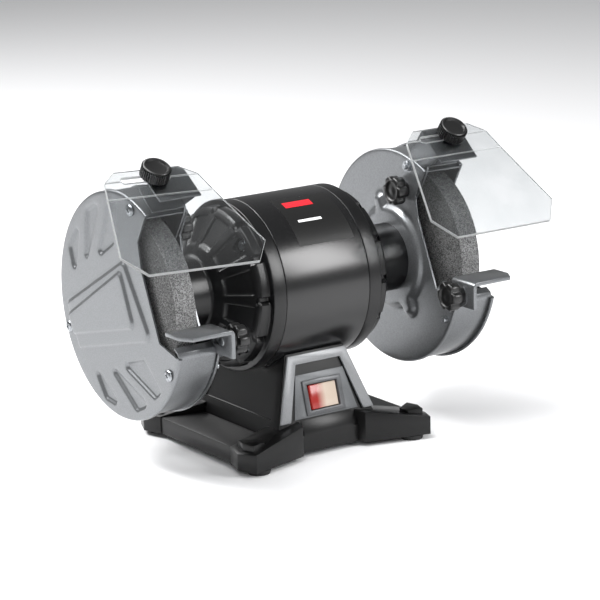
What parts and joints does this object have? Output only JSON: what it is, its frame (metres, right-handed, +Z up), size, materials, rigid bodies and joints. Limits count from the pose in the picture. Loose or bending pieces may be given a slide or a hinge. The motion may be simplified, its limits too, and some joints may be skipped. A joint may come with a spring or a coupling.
{
  "type": "bench grinder",
  "caption": "Bench grinder: motor on a splayed pedestal base, a guarded abrasive wheel at each end, clear eye shields, spark arrestors and tool rests.",
  "frame": {"origin": "middle of the base's underside", "axes": "+X along the motor shaft to the user's right, -Y towards the user, +Z up"},
  "size_m": [0.4022, 0.2213, 0.2543],
  "materials": {
    "black_gloss": "gloss black paint",
    "black_satin": "satin black, moulded",
    "silver": "satin silver paint on steel sheet",
    "steel": "ground steel",
    "zinc": "bright zinc plate",
    "copper": "enamelled copper wire",
    "lamination": "stacked steel sheet",
    "abrasive": "coarse grey abrasive grit",
    "clear": "clear, polished",
    "knob": "moulded black",
    "rubber": "matt black rubber",
    "red": "translucent red",
    "trim": "silver painted plastic"
  },
  "bodies": {
    "frame": {"base_housing": "black_satin", "base_plate": "zinc", "rubber_foot_front_left": "rubber", "rubber_foot_front_right": "rubber", "rubber_foot_rear_left": "rubber", "rubber_foot_rear_right": "rubber", "front_trim": "trim", "switch_housing": "knob", "cord_gland": "rubber", "run_capacitor": "trim", "motor_shell": "black_gloss", "end_bell_left": "black_gloss", "end_bell_right": "black_gloss", "stator_core": "lamination", "winding_left": "copper", "winding_right": "copper", "bearing_left": "steel", "bearing_right": "steel", "tie_bolt_1": "zinc", "tie_bolt_2": "zinc", "tie_bolt_3": "zinc", "tie_bolt_4": "zinc", "wheel_guard_left": "silver", "wheel_guard_right": "silver", "guard_cover_left": "silver", "guard_cover_right": "silver", "cover_bolt_left_top": "zinc", "cover_bolt_left_front": "zinc", "cover_bolt_left_rear": "zinc", "cover_bolt_right_top": "zinc", "cover_bolt_right_front": "zinc", "cover_bolt_right_rear": "zinc", "rest_bolt_left": "zinc", "rest_bolt_right": "zinc"},
    "rotor": {"rotor_shaft": "steel", "rotor_core": "lamination", "grinding_wheel_left": "abrasive", "grinding_wheel_right": "abrasive", "inner_flange_left": "zinc", "inner_flange_right": "zinc", "outer_flange_left": "zinc", "outer_flange_right": "zinc", "wheel_nut_left": "zinc", "wheel_nut_right": "zinc"},
    "rocker": {"switch_rocker": "red"},
    "rest_left": {"tool_rest_left": "silver"},
    "rest_knob_left": {"rest_knob_left": "knob"},
    "arrestor_left": {"spark_arrestor_left": "silver"},
    "arrestor_knob_left": {"arrestor_knob_left": "knob"},
    "bracket_left": {"shield_bracket_left": "silver"},
    "shield_left": {"eye_shield_left": "clear"},
    "shield_knob_left": {"shield_knob_left": "knob"},
    "rest_right": {"tool_rest_right": "silver"},
    "rest_knob_right": {"rest_knob_right": "knob"},
    "arrestor_right": {"spark_arrestor_right": "silver"},
    "arrestor_knob_right": {"arrestor_knob_right": "knob"},
    "bracket_right": {"shield_bracket_right": "silver"},
    "shield_right": {"eye_shield_right": "clear"},
    "shield_knob_right": {"shield_knob_right": "knob"}
  },
  "joints": [
    {"name": "rotor_spin", "type": "hinge", "parent": "frame", "child": "rotor", "pos_m": [0, 0, 0.128], "axis": [1, 0, 0], "continuous": true},
    {"name": "rocker_tilt", "type": "hinge", "parent": "frame", "child": "rocker", "pos_m": [0, -0.05588, 0.0415], "axis": [0, 0.2694, 0.963], "range_deg": [-16, 0]},
    {"name": "rest_slide_left", "type": "slide", "parent": "frame", "child": "rest_left", "axis": [0, -1, 0], "range_m": [-0.0015, 0.008]},
    {"name": "rest_knob_turn_left", "type": "hinge", "parent": "frame", "child": "rest_knob_left", "pos_m": [-0.1129, -0.091, 0.1125], "axis": [1, 0, 0], "range_deg": [0, 270]},
    {"name": "arrestor_slide_left", "type": "slide", "parent": "frame", "child": "arrestor_left", "axis": [0, -0.7604, -0.6494], "range_m": [-0.002, 0.004]},
    {"name": "arrestor_knob_turn_left", "type": "hinge", "parent": "frame", "child": "arrestor_knob_left", "pos_m": [-0.1144, -0.018, 0.187], "axis": [1, 0, 0], "range_deg": [0, 270]},
    {"name": "bracket_tilt_left", "type": "hinge", "parent": "frame", "child": "bracket_left", "pos_m": [-0.1165, -0.02412, 0.2069], "axis": [1, 0, 0], "range_deg": [-50, 8]},
    {"name": "shield_slide_left", "type": "slide", "parent": "bracket_left", "child": "shield_left", "axis": [0.9981, -0.0534, -0.0296], "range_m": [-0.005, 0.024]},
    {"name": "shield_knob_turn_left", "type": "hinge", "parent": "bracket_left", "child": "shield_knob_left", "pos_m": [-0.1428, -0.04708, 0.23589], "axis": [0, -0.4848, 0.8746], "range_deg": [0, 270]},
    {"name": "rest_slide_right", "type": "slide", "parent": "frame", "child": "rest_right", "axis": [0, -1, 0], "range_m": [-0.0015, 0.008]},
    {"name": "rest_knob_turn_right", "type": "hinge", "parent": "frame", "child": "rest_knob_right", "pos_m": [0.1129, -0.091, 0.1125], "axis": [1, 0, 0], "range_deg": [0, 270]},
    {"name": "arrestor_slide_right", "type": "slide", "parent": "frame", "child": "arrestor_right", "axis": [0, -0.7604, -0.6494], "range_m": [-0.002, 0.004]},
    {"name": "arrestor_knob_turn_right", "type": "hinge", "parent": "frame", "child": "arrestor_knob_right", "pos_m": [0.1144, -0.018, 0.187], "axis": [1, 0, 0], "range_deg": [0, 270]},
    {"name": "bracket_tilt_right", "type": "hinge", "parent": "frame", "child": "bracket_right", "pos_m": [0.1165, -0.02412, 0.2069], "axis": [1, 0, 0], "range_deg": [-57, 1]},
    {"name": "shield_slide_right", "type": "slide", "parent": "bracket_right", "child": "shield_right", "axis": [1, 0, 0], "range_m": [-0.003, 0.026]},
    {"name": "shield_knob_turn_right", "type": "hinge", "parent": "bracket_right", "child": "shield_knob_right", "pos_m": [0.1345, -0.05044, 0.23288], "axis": [0, -0.5878, 0.809], "range_deg": [0, 270]}
  ]
}
